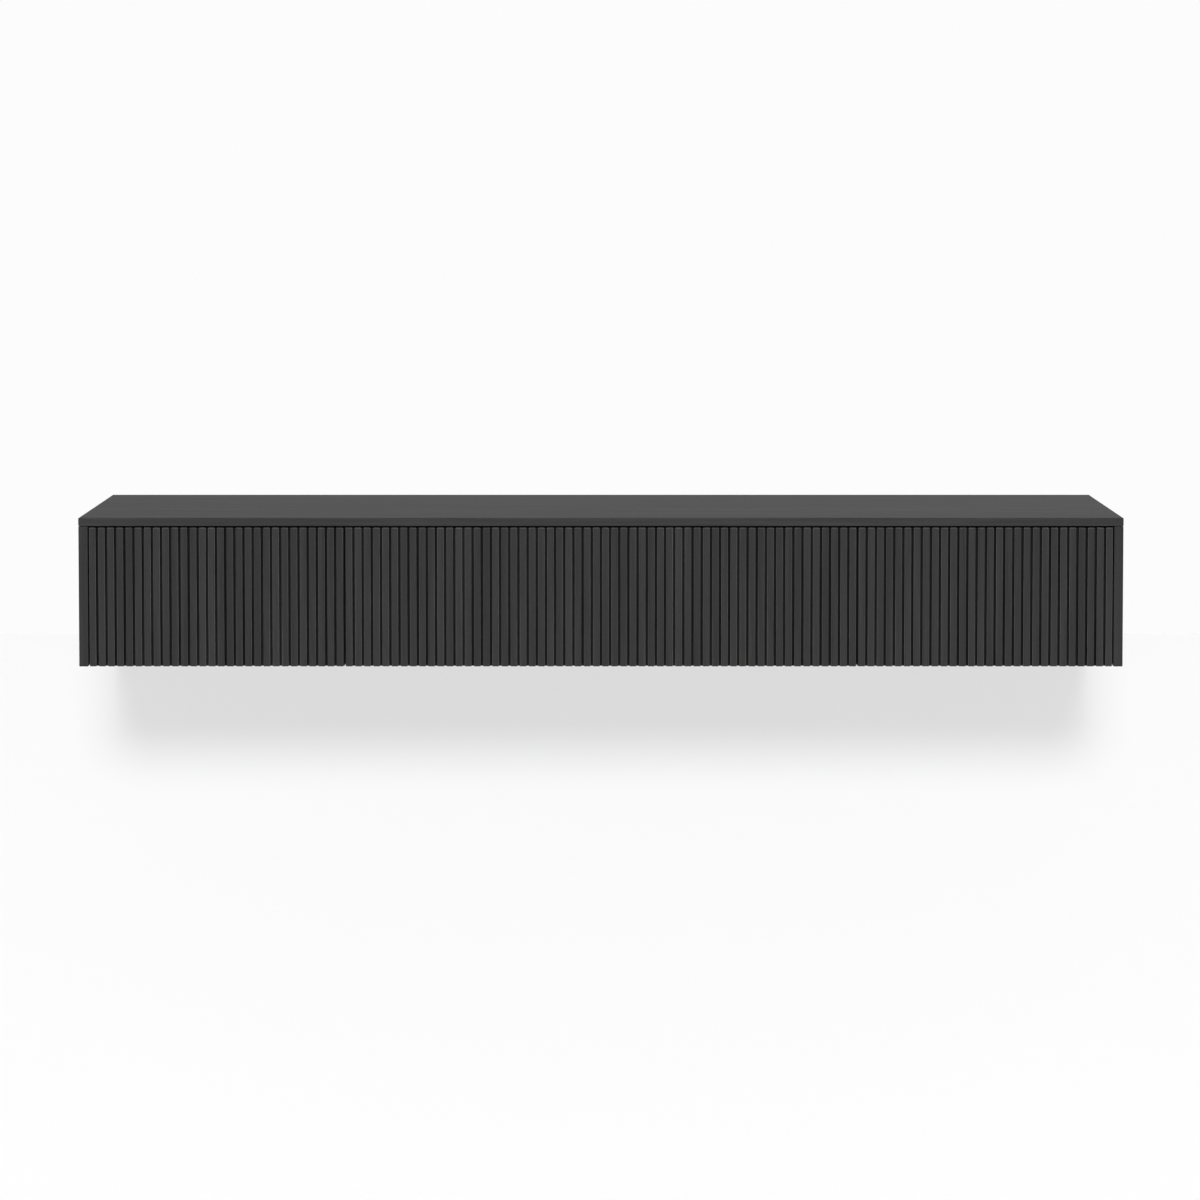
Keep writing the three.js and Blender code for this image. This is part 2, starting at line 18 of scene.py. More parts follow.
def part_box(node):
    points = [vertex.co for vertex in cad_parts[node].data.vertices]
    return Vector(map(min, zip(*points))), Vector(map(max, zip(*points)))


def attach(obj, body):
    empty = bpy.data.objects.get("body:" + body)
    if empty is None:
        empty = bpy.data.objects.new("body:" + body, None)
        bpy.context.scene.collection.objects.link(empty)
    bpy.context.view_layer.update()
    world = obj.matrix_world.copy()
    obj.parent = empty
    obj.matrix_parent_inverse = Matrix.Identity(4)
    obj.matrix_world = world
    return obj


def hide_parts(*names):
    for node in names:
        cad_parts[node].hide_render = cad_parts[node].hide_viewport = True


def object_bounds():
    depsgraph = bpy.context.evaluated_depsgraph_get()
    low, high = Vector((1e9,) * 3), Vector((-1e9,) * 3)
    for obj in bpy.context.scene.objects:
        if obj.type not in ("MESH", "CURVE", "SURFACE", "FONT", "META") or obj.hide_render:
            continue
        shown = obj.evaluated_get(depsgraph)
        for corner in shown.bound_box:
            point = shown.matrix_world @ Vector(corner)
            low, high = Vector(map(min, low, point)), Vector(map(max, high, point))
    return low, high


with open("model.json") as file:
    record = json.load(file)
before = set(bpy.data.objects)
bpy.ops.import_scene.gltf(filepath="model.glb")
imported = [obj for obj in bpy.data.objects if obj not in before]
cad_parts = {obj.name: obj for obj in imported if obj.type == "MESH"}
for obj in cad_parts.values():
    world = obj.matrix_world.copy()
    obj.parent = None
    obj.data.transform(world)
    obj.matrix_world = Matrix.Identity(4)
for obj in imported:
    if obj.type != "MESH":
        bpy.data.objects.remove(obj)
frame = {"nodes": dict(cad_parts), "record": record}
cad_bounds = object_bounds()
nodes = frame["nodes"]
members_of = frame["record"]["behaviour"]["bodies"]
body_of = {node: body for body, members in members_of.items() for node in members}
slot_of = {row["node"]: row["material_slot"] for row in frame["record"]["subparts"]}
console_low = Vector(cad_bounds[0])

# %% [markdown]
# The photograph was taken with a long lens from well above the console, almost level, so that upright
# lines stay upright. The lens, the distance and the height follow from three things in it: the width of
# the front edge, how much narrower the back edge of the top is, and where the lines of the two ends
# meet. A view camera gets an object into the frame by shifting its film, which Blender calls shift. A
# small tilt does part of that work here, so that the shift stays small enough for views from other sides.

# %% Camera
MILLIMETRES = 1000
LENS = 0.08873
FILM = 0.036
EYE_DISTANCE = 5.635
EYE_HEIGHT = 0.794
TILT = radians(2.3)
FILM_SHIFT = (-0.00076, -0.2626)


def put_in_scene(name, data):
    """A new object that shows the given mesh, lamp or camera."""
    thing = bpy.data.objects.new(name, data)
    bpy.context.scene.collection.objects.link(thing)
    return thing


camera_data = bpy.data.cameras.new("view_camera")
camera_data.lens = LENS * MILLIMETRES
camera_data.sensor_width = FILM * MILLIMETRES
camera_data.shift_x, camera_data.shift_y = FILM_SHIFT
camera = put_in_scene("view_camera", camera_data)
camera.location = (0, console_low.y - EYE_DISTANCE, EYE_HEIGHT)
camera.rotation_euler = (pi / 2 - TILT, 0, 0)
bpy.context.scene.camera = camera
print("camera", [round(place, 3) for place in camera.location], "lens", camera_data.lens)

# %% [markdown]
# Every finish below is a small network of nodes. Writing each link by hand hides what the network does,
# so a few helpers keep the recipes short. The first two make an empty finish and add a node to it. A
# socket goes by its label, with underscores for spaces, or, where labels repeat, by its number after an
# underscore.

# %% Helpers for nodes
def new_finish(name):
    """An empty material with its surface shader, ready for streaks and relief."""
    material = bpy.data.materials.new(name)
    material.use_nodes = True
    return material, material.node_tree, material.node_tree.nodes["Principled BSDF"]


def add(tree, kind, settings=None, **sockets):
    """One node, with its settings and with values or links put into its sockets."""
    node = tree.nodes.new(kind)
    for key, value in (settings or {}).items():
        setattr(node, key, value)
    for key, value in sockets.items():
        number = key[1:]
        socket = node.inputs[int(number) if number.isdigit() else key.replace("_", " ")]
        if isinstance(value, bpy.types.NodeSocket):
            tree.links.new(value, socket)
        else:
            socket.default_value = value
    return node


print("node helpers are ready")

# %% [markdown]
# What a maker sees in a surface is mostly streaks and specks. Both come from one cloudy noise: drawn out
# along an axis it gives wood grain or brush lines, and left as it is it gives dust and pebble. Painted
# images could do the same, but they have seams and one fixed sharpness, and noise has neither. Nearly all
# values of such a noise lie around its middle, so a helper spreads that part over the range that a recipe
# needs, and the ranges are then multiplied with each other. In the recipes, a pattern's effect is such a
# range, or four numbers where only a part of the noise counts: that part, and what it becomes.

# %% Helpers for patterns
NOISE_LOW = 0.3
NOISE_HIGH = 0.7


def streaks(tree, place, stretch, detail, roughness=0.6, distortion=0.0):
    """Cloudy noise from 0 to 1, drawn out by a different scale on each axis."""
    mapping = add(tree, "ShaderNodeMapping", Vector=place, Scale=stretch)
    noise = add(tree, "ShaderNodeTexNoise", Vector=mapping.outputs[0], Scale=1.0, Detail=detail,
                Roughness=roughness, Distortion=distortion)
    return noise.outputs[0]


def specks(tree, place, scale, detail=2.0):
    """Even noise from 0 to 1, the same size in every direction."""
    return streaks(tree, place, (scale, scale, scale), detail)


def grain_scale(along, across, length):
    """Streaks in a metre on each axis, for grain that runs along one of them."""
    return tuple(length if axis == along else across for axis in "xyz")


def spread(tree, value, low, high, to_low=0.0, to_high=1.0):
    """Takes the part of a value between low and high and spreads it over a new range."""
    node = add(tree, "ShaderNodeMapRange", _0=value, _1=low, _2=high, _3=to_low, _4=to_high)
    return node.outputs[0]


def vary(tree, noise, to_low, to_high):
    """Spreads the busy middle of a noise over a new range."""
    return spread(tree, noise, NOISE_LOW, NOISE_HIGH, to_low, to_high)


def reckon(tree, operation, first, second=0.0):
    """Arithmetic on one or two values."""
    return add(tree, "ShaderNodeMath", {"operation": operation}, _0=first, _1=second).outputs[0]


def product(tree, first, *others):
    """Several values multiplied with each other."""
    for other in others:
        first = reckon(tree, "MULTIPLY", first, other)
    return first


print("pattern helpers are ready")

# %% [markdown]
# A pattern becomes a finish in three ways: it picks a tone between a dark one and a light one, it makes
# the surface duller or smoother, and it raises a fine relief. Relief this fine could be real geometry,
# but it would need millions of faces, so here it is bump of a true depth. The edges that a hand can feel
# are geometry, further down.

# %% Helpers for tones and relief
def grey(level, warmth=0.0):
    """A near-neutral colour, with a little warmth or, below zero, coolness."""
    return (level * (1 + warmth), level, level * (1 - warmth))


def shade(color, factor):
    """The same colour, lighter or darker."""
    return tuple(channel * factor for channel in color)


def tones(tree, value, dark, light, start=0.0, end=1.0):
    """Colours from dark to light while a value goes from start to end."""
    ramp = tree.nodes.new("ShaderNodeValToRGB")
    tree.links.new(value, ramp.inputs[0])
    for element, place, color in zip(ramp.color_ramp.elements, (start, end), (dark, light)):
        element.position = place
        element.color = (*color, 1.0)
    return ramp.outputs[0]


def blend_tones(tree, share, first, second):
    """The first colour where the share is 0, and the second where it is 1."""
    node = add(tree, "ShaderNodeMix", {"data_type": "RGBA"}, _0=share, _6=first, _7=second)
    return node.outputs[2]


def coat(tree, shader, color, roughness, height, depth):
    """Joins colour, roughness and a relief of real depth in metres to the surface shader."""
    tree.links.new(color, shader.inputs["Base Color"])
    tree.links.new(roughness, shader.inputs["Roughness"])
    bump = add(tree, "ShaderNodeBump", Height=height, Distance=depth, Strength=1.0)
    tree.links.new(bump.outputs[0], shader.inputs["Normal"])


print("tone helpers are ready")

# %% [markdown]
# The console is faced with an open-grained wood that is stained almost black and finished matt. Four
# scales show in it: broad bands where the growth rings lie wider, dark veins between them, fine fibre
# streaks about two millimetres across, and pores, short dark scratches that the stain fills. All of them
# run along the board, so the same recipe is drawn out along Z for the fronts and ends and along X for the
# top. A slow bend in the coordinates keeps the streaks from running dead straight. The grooves are cut
# through the faces of the boards. Their foot gets a darker and duller copy of the wood, and their walls a
# darker one still. This darkness is painted shade, put where the grooves lie in shade. The arris of a slat
# gets a much lighter copy, which is a painted highlight.

# %% Charcoal-stained wood
WOOD_BANDS = (45.0, 1.3)
WOOD_VEINS = (95.0, 2.4)
WOOD_FIBRES = (420.0, 5.0)
WOOD_PORES = (1500.0, 26.0)
BAND_EFFECT = (0.35, 0.65, 0.65, 1.35)
VEIN_EFFECT = (0.34, 0.42, 0.70, 1.0)
FIBRE_EFFECT = (0.86, 1.14)
PORE_EFFECT = (0.36, 0.46, 0.72, 1.0)
BEND_SCALE = 3.0
BEND_REACH = 0.012
WOOD_DARKEST = 0.25
WOOD_LIGHTEST = 1.75
WOOD_TINT = 0.01
WOOD_GLOSS_SWING = 0.05
WOOD_RELIEF = 0.00012


def charcoal_wood(name, along, level, roughness=0.50, sheen=0.35, cut=0.0):
    """Stained wood with its grain along one axis.

    level is its mean tone, sheen its specular level, and cut says where in the log the board was sawn.
    """
    material, tree, shader = new_finish(name)
    place = add(tree, "ShaderNodeTexCoord").outputs["Object"]
    place = add(tree, "ShaderNodeMapping", Vector=place, Location=(cut, 0.0, cut)).outputs[0]
    bend = specks(tree, place, BEND_SCALE, detail=1.0)
    bend = add(tree, "ShaderNodeVectorMath", {"operation": "SCALE"}, _0=bend, Scale=BEND_REACH).outputs[0]
    bent = add(tree, "ShaderNodeVectorMath", {"operation": "ADD"}, _0=place, _1=bend).outputs[0]
    bands = streaks(tree, bent, grain_scale(along, *WOOD_BANDS), detail=3.0, distortion=0.6)
    fibres = streaks(tree, bent, grain_scale(along, *WOOD_FIBRES), detail=5.0, roughness=0.7)
    pores = streaks(tree, bent, grain_scale(along, *WOOD_PORES), detail=2.0)
    veins = streaks(tree, bent, grain_scale(along, *WOOD_VEINS), detail=6.0, roughness=0.75, distortion=1.2)
    light = product(tree, spread(tree, bands, *BAND_EFFECT), vary(tree, fibres, *FIBRE_EFFECT),
                    spread(tree, pores, *PORE_EFFECT), spread(tree, veins, *VEIN_EFFECT))
    color = tones(tree, spread(tree, light, WOOD_DARKEST, WOOD_LIGHTEST),
                  grey(level * WOOD_DARKEST, -WOOD_TINT), grey(level * WOOD_LIGHTEST, WOOD_TINT))
    gloss = vary(tree, fibres, roughness + WOOD_GLOSS_SWING, roughness - WOOD_GLOSS_SWING)
    shader.inputs["Specular IOR Level"].default_value = sheen
    coat(tree, shader, color, gloss, reckon(tree, "ADD", fibres, pores), WOOD_RELIEF)
    return material


# Painted shade: the darker foot and walls of the grooves stand in for the shade inside them.
foot_painted_shade = charcoal_wood("charcoal_foot_painted_shade", "z", level=0.012, roughness=0.65, sheen=0.1)
wall_painted_shade = charcoal_wood("charcoal_wall_painted_shade", "z", level=0.003, roughness=0.80, sheen=0.05)
# Painted highlight: the much lighter arris stands in for the light that the slats' edges catch.
arris_painted_highlight = charcoal_wood("charcoal_arris_painted_highlight", "z", level=0.120)
upright_charcoal = charcoal_wood("charcoal_wood_upright", "z", level=0.0172)
lengthwise_charcoal = charcoal_wood("charcoal_wood_lengthwise", "x", level=0.0235, cut=7.1)
print("charcoal wood:", upright_charcoal.name, lengthwise_charcoal.name, foot_painted_shade.name, wall_painted_shade.name)

# %% [markdown]
# Inside, where no one looks for grain, such a console has boards faced with black laminate. Plain black
# paint would look like a hole in the picture. A laminate isn't smooth: it is pressed against a sheet with
# a fine pebble, and it shows pale specks of dust and short, faint scuffs.

# %% Black laminate of the carcass
LAMINATE_LEVEL = 0.024
LAMINATE_DARKEST = 0.5
LAMINATE_LIGHTEST = 1.7
LAMINATE_TINT = 0.02
CLOUD_SCALE = 9.0
PEBBLE_SCALE = 1100.0
DUST_SCALE = 420.0
SCUFF_SCALE = (30.0, 240.0, 60.0)
CLOUD_EFFECT = (0.9, 1.1)
PEBBLE_EFFECT = (0.88, 1.12)
DUST_EFFECT = (0.68, 0.8, 0.0, 0.5)
PEBBLE_GLOSS = (0.50, 0.60)
SCUFF_GLOSS = (0.62, 0.72, 0.0, -0.10)
PEBBLE_DEPTH = 0.00005


def black_laminate(name):
    """Pressed black laminate with a fine pebble, a little dust and faint scuffs."""
    material, tree, shader = new_finish(name)
    place = add(tree, "ShaderNodeTexCoord").outputs["Object"]
    cloud = specks(tree, place, CLOUD_SCALE, detail=3.0)
    pebble = specks(tree, place, PEBBLE_SCALE)
    dust = specks(tree, place, DUST_SCALE, detail=4.0)
    scuffs = streaks(tree, place, SCUFF_SCALE, detail=5.0, distortion=0.8)
    light = product(tree, vary(tree, cloud, *CLOUD_EFFECT), vary(tree, pebble, *PEBBLE_EFFECT))
    light = reckon(tree, "ADD", light, spread(tree, dust, *DUST_EFFECT))
    dark = grey(LAMINATE_LEVEL * LAMINATE_DARKEST)
    pale = grey(LAMINATE_LEVEL * LAMINATE_LIGHTEST, LAMINATE_TINT)
    color = tones(tree, spread(tree, light, LAMINATE_DARKEST, LAMINATE_LIGHTEST), dark, pale)
    gloss = reckon(tree, "ADD", vary(tree, pebble, *PEBBLE_GLOSS), spread(tree, scuffs, *SCUFF_GLOSS))
    coat(tree, shader, color, gloss, pebble, PEBBLE_DEPTH)
    return material


laminate = black_laminate("black_laminate")
print("laminate:", laminate.name)

# %% [markdown]
# Birch plywood has two faces to show. The outer veneer is pale and calm, with long fibres and a few
# darker flecks. The edges show the layers: every second one is cut along the grain and looks light, and
# those between are cut across it and look brown and speckled, with a thin dark glue line at each join.
# Which of the two a spot gets follows from the way its surface faces: along the board's thickness it is
# veneer, and anywhere else it is layers. Two materials on chosen faces would also do, but the finger
# joints have hundreds of faces, and this way none has to be chosen. Generated coordinates run from 0 to 1
# over a piece, so the layers come out whole whatever the thickness.

# %% Birch plywood
PLY_BANDS = (34.0, 1.8)
PLY_FIBRES = (520.0, 7.0)
PLY_FLECKS = (700.0, 60.0)
PLY_SPECKLE = 900.0
VENEER = (0.66, 0.47, 0.27)
VENEER_RANGE = (0.62, 1.18)
VENEER_LIGHT = (0.6, 1.2)
CALM_EFFECT = (0.90, 1.08)
FLECK_EFFECT = (0.30, 0.38, 0.78, 1.0)
LAYER_ALONG = (0.60, 0.40, 0.21)
LAYER_ALONG_RANGE = (0.82, 1.1)
LAYER_ALONG_SPECKLE = (0.25, 0.75)
LAYER_ACROSS = (0.32, 0.185, 0.088)
LAYER_ACROSS_RANGE = (0.55, 1.35)
LAYER_ACROSS_SPECKLE = (0.30, 0.70)
GLUE_TONE = 0.55
GLUE_SHARE = 0.10
EDGE_TO_FACE = (0.80, 0.90)
PLY_GLOSS = (0.58, 0.46)
PLY_SHEEN = 0.4
PLY_RELIEF = 0.00006


def ply_veneer(tree, fibres, bands, flecks):
    """The calm colour of the outer veneer."""
    light = product(tree, vary(tree, bands, *CALM_EFFECT), vary(tree, fibres, *CALM_EFFECT),
                    spread(tree, flecks, *FLECK_EFFECT))
    dark, pale = (shade(VENEER, factor) for factor in VENEER_RANGE)
    return tones(tree, spread(tree, light, *VENEER_LIGHT), dark, pale)


def ply_edge(tree, place, share, layers):
    """The layers of an edge, with share going from 0 to 1 through the board."""
    height = product(tree, share, float(layers))
    turn = reckon(tree, "MODULO", reckon(tree, "FLOOR", height), 2.0)
    glue = reckon(tree, "LESS_THAN", reckon(tree, "FRACT", height), GLUE_SHARE)
    speckle = specks(tree, place, PLY_SPECKLE, detail=3.0)
    dark, pale = (shade(LAYER_ALONG, factor) for factor in LAYER_ALONG_RANGE)
    along_layer = tones(tree, speckle, dark, pale, *LAYER_ALONG_SPECKLE)
    dark, pale = (shade(LAYER_ACROSS, factor) for factor in LAYER_ACROSS_RANGE)
    across_layer = tones(tree, speckle, dark, pale, *LAYER_ACROSS_SPECKLE)
    edge = blend_tones(tree, turn, along_layer, across_layer)
    return blend_tones(tree, glue, edge, (*shade(LAYER_ACROSS, GLUE_TONE), 1.0))


def birch_plywood(name, through, layers, along):
    """Plywood whose thickness lies along one axis and whose veneer grain runs along another."""
    material, tree, shader = new_finish(name)
    coordinates = add(tree, "ShaderNodeTexCoord").outputs
    place = coordinates["Object"]
    axis = "xyz".index(through)
    fibres = streaks(tree, place, grain_scale(along, *PLY_FIBRES), detail=5.0, roughness=0.65)
    bands = streaks(tree, place, grain_scale(along, *PLY_BANDS), detail=3.0, distortion=1.0)
    flecks = streaks(tree, place, grain_scale(along, *PLY_FLECKS), detail=2.0)
    share = add(tree, "ShaderNodeSeparateXYZ", Vector=coordinates["Generated"]).outputs[axis]
    facing = add(tree, "ShaderNodeSeparateXYZ", Vector=coordinates["Normal"]).outputs[axis]
    is_face = spread(tree, reckon(tree, "ABSOLUTE", facing), *EDGE_TO_FACE)
    veneer = ply_veneer(tree, fibres, bands, flecks)
    color = blend_tones(tree, is_face, ply_edge(tree, place, share, layers), veneer)
    shader.inputs["Specular IOR Level"].default_value = PLY_SHEEN
    height = reckon(tree, "ADD", fibres, flecks)
    coat(tree, shader, color, vary(tree, fibres, *PLY_GLOSS), height, PLY_RELIEF)
    return material


box_side_ply = birch_plywood("birch_ply_box_side", through="x", layers=9, along="y")
box_end_ply = birch_plywood("birch_ply_box_end", through="y", layers=9, along="x")
box_floor_ply = birch_plywood("birch_ply_box_floor", through="z", layers=7, along="y")
rail_ply = birch_plywood("birch_ply_rail", through="y", layers=13, along="x")
print("plywood:", box_side_ply.name, box_end_ply.name, box_floor_ply.name, rail_ply.name)

# %% [markdown]
# Runners are rolled from zinc-plated strip. Zinc grows in faint crystals a few millimetres across, and
# rolling leaves long fine lines, so brightness follows the crystals and roughness follows the lines. The
# hinge leaves are nickel-plated instead: warmer, clouded in wide patches, and brushed along their length.
# One recipe serves both, with another tone, direction and patch size.

# %% Plated steel
ZINC_TONE = (0.66, 0.68, 0.70)
NICKEL_TONE = (0.60, 0.57, 0.52)
METAL_SHARE = 0.85
ROLLED_LINES = (1600.0, 12.0)
SMEAR_SCALE = 40.0
PATCH_EFFECT = (0.93, 1.04)
LINE_EFFECT = (0.95, 1.04)
SMEAR_GLOSS = (0.45, 0.7, 0.0, 0.12)
STEEL_RANGE = (0.84, 1.1)
STEEL_GLOSS_SWING = 0.06
STEEL_RELIEF = 0.00001


def plated_steel(name, tone, along, patches, roughness):
    """Plated steel with lines along one axis and so many patches in a metre."""
    material, tree, shader = new_finish(name)
    shader.inputs["Metallic"].default_value = METAL_SHARE
    place = add(tree, "ShaderNodeTexCoord").outputs["Object"]
    lines = streaks(tree, place, grain_scale(along, *ROLLED_LINES), detail=3.0)
    cells = add(tree, "ShaderNodeTexVoronoi", Vector=place, Scale=patches).outputs["Color"]
    cells = add(tree, "ShaderNodeSeparateColor", Color=cells).outputs[0]
    smears = specks(tree, place, SMEAR_SCALE, detail=4.0)
    light = product(tree, spread(tree, cells, 0.0, 1.0, *PATCH_EFFECT), vary(tree, lines, *LINE_EFFECT))
    dark, pale = (shade(tone, factor) for factor in STEEL_RANGE)
    color = tones(tree, spread(tree, light, *STEEL_RANGE), dark, pale)
    gloss = vary(tree, lines, roughness - STEEL_GLOSS_SWING, roughness + STEEL_GLOSS_SWING)
    gloss = reckon(tree, "ADD", gloss, spread(tree, smears, *SMEAR_GLOSS))
    coat(tree, shader, color, gloss, lines, STEEL_RELIEF)
    return material


zinc = plated_steel("zinc_plated_steel", ZINC_TONE, along="y", patches=190.0, roughness=0.40)
nickel = plated_steel("nickel_plated_steel", NICKEL_TONE, along="x", patches=25.0, roughness=0.32)
print("steel:", zinc.name, nickel.name)

# %% [markdown]
# The latch housings and the cable rings are moulded. A mould for such parts is spark-eroded, which gives
# the plastic an even, very fine grain, and the melt leaves faint clouds as it flows in. The pale buffers
# of the latches are softer and duller. All three are one recipe with its own tone, gloss and grain.

# %% Moulded plastic and soft buffers
LATCH_TONE = (0.095, 0.102, 0.112)
RING_TONE = (0.012, 0.012, 0.013)
BUFFER_TONE = (0.66, 0.64, 0.58)
FLOW_SCALE = 35.0
FLOW_EFFECT = (0.92, 1.08)
EROSION_EFFECT = (0.90, 1.10)
PLASTIC_RANGE = (0.75, 1.25)
PLASTIC_GLOSS_SWING = 0.07
PLASTIC_RELIEF = 0.00003


def moulded_plastic(name, tone, roughness, grains):
    """Plastic from an eroded mould, with so many grains in a metre."""
    material, tree, shader = new_finish(name)
    place = add(tree, "ShaderNodeTexCoord").outputs["Object"]
    erosion = specks(tree, place, grains, detail=3.0)
    flow = specks(tree, place, FLOW_SCALE)
    light = product(tree, vary(tree, flow, *FLOW_EFFECT), vary(tree, erosion, *EROSION_EFFECT))
    dark, pale = (shade(tone, factor) for factor in PLASTIC_RANGE)
    color = tones(tree, spread(tree, light, *PLASTIC_RANGE), dark, pale)
    gloss = vary(tree, erosion, roughness - PLASTIC_GLOSS_SWING, roughness + PLASTIC_GLOSS_SWING)
    coat(tree, shader, color, gloss, erosion, PLASTIC_RELIEF)
    return material


latch_grey = moulded_plastic("latch_grey_plastic", LATCH_TONE, roughness=0.48, grains=2600.0)
ring_black = moulded_plastic("ring_black_plastic", RING_TONE, roughness=0.38, grains=3200.0)
buffer_pale = moulded_plastic("buffer_pale_rubber", BUFFER_TONE, roughness=0.66, grains=1500.0)
print("plastics:", latch_grey.name, ring_black.name, buffer_pale.name)

# %% [markdown]
# A saw leaves edges that are sharper than any finished piece has: a maker breaks them with a few strokes
# of sandpaper, and those small rounds are what catch the light. Each piece is therefore a copy of its
# solid. Triangles that lie in one plane are merged, each sharp edge gets a bevel weight, and a Bevel
# modifier rounds the edges by those weights, so the upper and lower ends of the slats can have a wider
# arris than their sides. The result is frozen into the mesh and shaded smooth, apart from creases. Smooth
# shading alone would bend the light on the flat faces too, because each corner takes its direction from
# all the faces round it. A Weighted Normal modifier gives the large faces the say, so they stay flat.

# %% Helpers for the shapes
WELD = 0.000002
FLAT_ANGLE = radians(0.4)
SHARP_ANGLE = radians(35)
END_REACH = 0.00001


def merged_shape(node):
    """The shape of a solid, with the triangles of each flat face merged."""
    shape = bmesh.new()
    shape.from_mesh(nodes[node].data)
    bmesh.ops.remove_doubles(shape, verts=shape.verts, dist=WELD)
    bmesh.ops.dissolve_limit(shape, angle_limit=FLAT_ANGLE, verts=shape.verts, edges=shape.edges)
    return shape


def weigh_edges(shape, node, side_weight, end_weight):
    """Gives the sharp edges their bevel weights, with one weight for those at the lower and upper end."""
    low, high = (corner[2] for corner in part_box(node))
    weights = shape.edges.layers.float.new("bevel_weight_edge")
    for edge in shape.edges:
        if edge.calc_face_angle(0) > SHARP_ANGLE:
            heights = [vert.co.z for vert in edge.verts]
            at_end = min(heights) > high - END_REACH or max(heights) < low + END_REACH
            edge[weights] = end_weight if at_end else side_weight


def piece_of(shape, name, material):
    """A new piece in the scene with the given shape and finish."""
    mesh = bpy.data.meshes.new(name)
    shape.to_mesh(mesh)
    shape.free()
    mesh.materials.append(material)
    return put_in_scene(name, mesh)


def freeze(piece):
    """Turns what the modifiers make into the piece's own mesh."""
    made = piece.evaluated_get(bpy.context.evaluated_depsgraph_get())
    piece.data = bpy.data.meshes.new_from_object(made)
    piece.modifiers.clear()


print("shape helpers are ready")

# %% [markdown]
# The solids are fixed, so nothing is changed in them: one function makes a dressed copy of any of them.
# The copy rides on the same body as its solid and stands for it, so a drawer front still leaves with its
# drawer.

# %% Dressing a solid
CREASE_ANGLE = radians(50)
ARRIS_STEPS = 2
LARGE_FACES_ONLY = 100


def dressed(node, material, arris, end_arris=None):
    """A copy of a solid with eased edges, in the given finish, on the same body."""
    end_arris = end_arris or arris
    widest = max(arris, end_arris)
    shape = merged_shape(node)
    weigh_edges(shape, node, arris / widest, end_arris / widest)
    piece = piece_of(shape, f"{node}_dressed", material)
    easing = piece.modifiers.new("arris", "BEVEL")
    easing.limit_method = "WEIGHT"
    easing.width = widest
    easing.segments = ARRIS_STEPS
    freeze(piece)
    piece.data.shade_smooth()
    piece.data.set_sharp_from_angle(angle=CREASE_ANGLE)
    flattening = piece.modifiers.new("flat faces", "WEIGHTED_NORMAL")
    flattening.weight = LARGE_FACES_ONLY
    flattening.keep_sharp = True
    freeze(piece)
    piece.data.name = piece.name
    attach(piece, body_of[node])
    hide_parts(node)
    return piece


print("dressing helper is ready")

# %% [markdown]
# The fronts are boards with square grooves run into them. Each slat keeps a soft arris on both sides, and
# its ends have a wider one, the upper of which shows as a thin light line under the shadow gap. The faces
# could be painted by hand, but their direction and depth already tell what they are. What slants away
# right behind the front is an arris, and its pale tone is a painted highlight. What faces sideways is the
# wall of a groove, and what faces the front but lies deep is the foot of one; both get dark tones as
# painted shade. The sawn ends of the boards get the foot's tone too: end grain takes the stain darker, and
# the tone also paints shade into the gap under the top.

# %% Fluted fronts
SLAT_ARRIS = 0.0005
SLAT_END_ARRIS = 0.0016
ARRIS_END, FOOT_START, GROOVE_END = (console_low.y + depth for depth in (0.0008, 0.0070, 0.0085))
SLANTED = 0.25
SQUARE_ON = 0.9
FOOT, WALL, ARRIS = 1, 2, 3
fronts = [dressed(node, upright_charcoal, SLAT_ARRIS, SLAT_END_ARRIS)
          for node in ("left_drawer_front", "flap_front", "right_drawer_front")]
for piece in fronts:
    for finish in (foot_painted_shade, wall_painted_shade, arris_painted_highlight):
        piece.data.materials.append(finish)
    for face in piece.data.polygons:
        sideways, forward, upward = abs(face.normal.x), -face.normal.y, abs(face.normal.z)
        behind = face.center.y
        # The pale arris tone is a painted highlight; the wall and foot tones below are painted shade.
        if forward > SLANTED and max(sideways, upward) > SLANTED and behind < ARRIS_END:
            face.material_index = ARRIS
        elif sideways > SQUARE_ON and behind < GROOVE_END:
            face.material_index = WALL
        elif forward > SQUARE_ON and FOOT_START < behind < GROOVE_END:
            face.material_index = FOOT
        # The ends get the foot's dark tone: partly darker end grain, partly painted shade in the gap under
        # the top.
        elif upward > SQUARE_ON:
            face.material_index = FOOT
print("faces of the fronts:", [len(piece.data.polygons) for piece in fronts])

# %% [markdown]
# The top lies on the side panels, and a hairline seam shows where they meet. The pieces only touch there,
# with no gap to throw a shadow. A real gap would change the size of a board, so the two faces of the joint
# and the arrises beside it get the darkest wood instead, which is painted shade in the seam. The same test
# takes in the whole underside of the top, so the shadow gap above the fronts gets painted shade too. The
# lower arris at the front of the top keeps its own tone, because it catches light and is part of how
# thick the top looks.

# %% Top and side panels
BOARD_ARRIS = 0.0003
SEAM_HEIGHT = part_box("top_panel")[0][2]
SEAM_REACH = 0.003
SEAM = 1
ends = [dressed(node, upright_charcoal, BOARD_ARRIS) for node in ("side_panel_left", "side_panel_right")]
top = dressed("top_panel", lengthwise_charcoal, BOARD_ARRIS)
# Painted shade: the seam faces and the whole underside of the top get the darkest wood.
for piece in (*ends, top):
    piece.data.materials.append(wall_painted_shade)
    for face in piece.data.polygons:
        in_seam = abs(face.center.z - SEAM_HEIGHT) < SEAM_REACH and abs(face.normal.z) > SLANTED
        at_front = face.normal.y <= -SLANTED
        if in_seam and not (piece == top and at_front):
            face.material_index = SEAM
print("faces of the top:", len(top.data.polygons))

# %% [markdown]
# The boards inside are faced with laminate on both sides and banded at the front. A maker only touches
# such an edge with a file, because a wider arris would cut through the laminate, so theirs is the
# smallest of the boards.

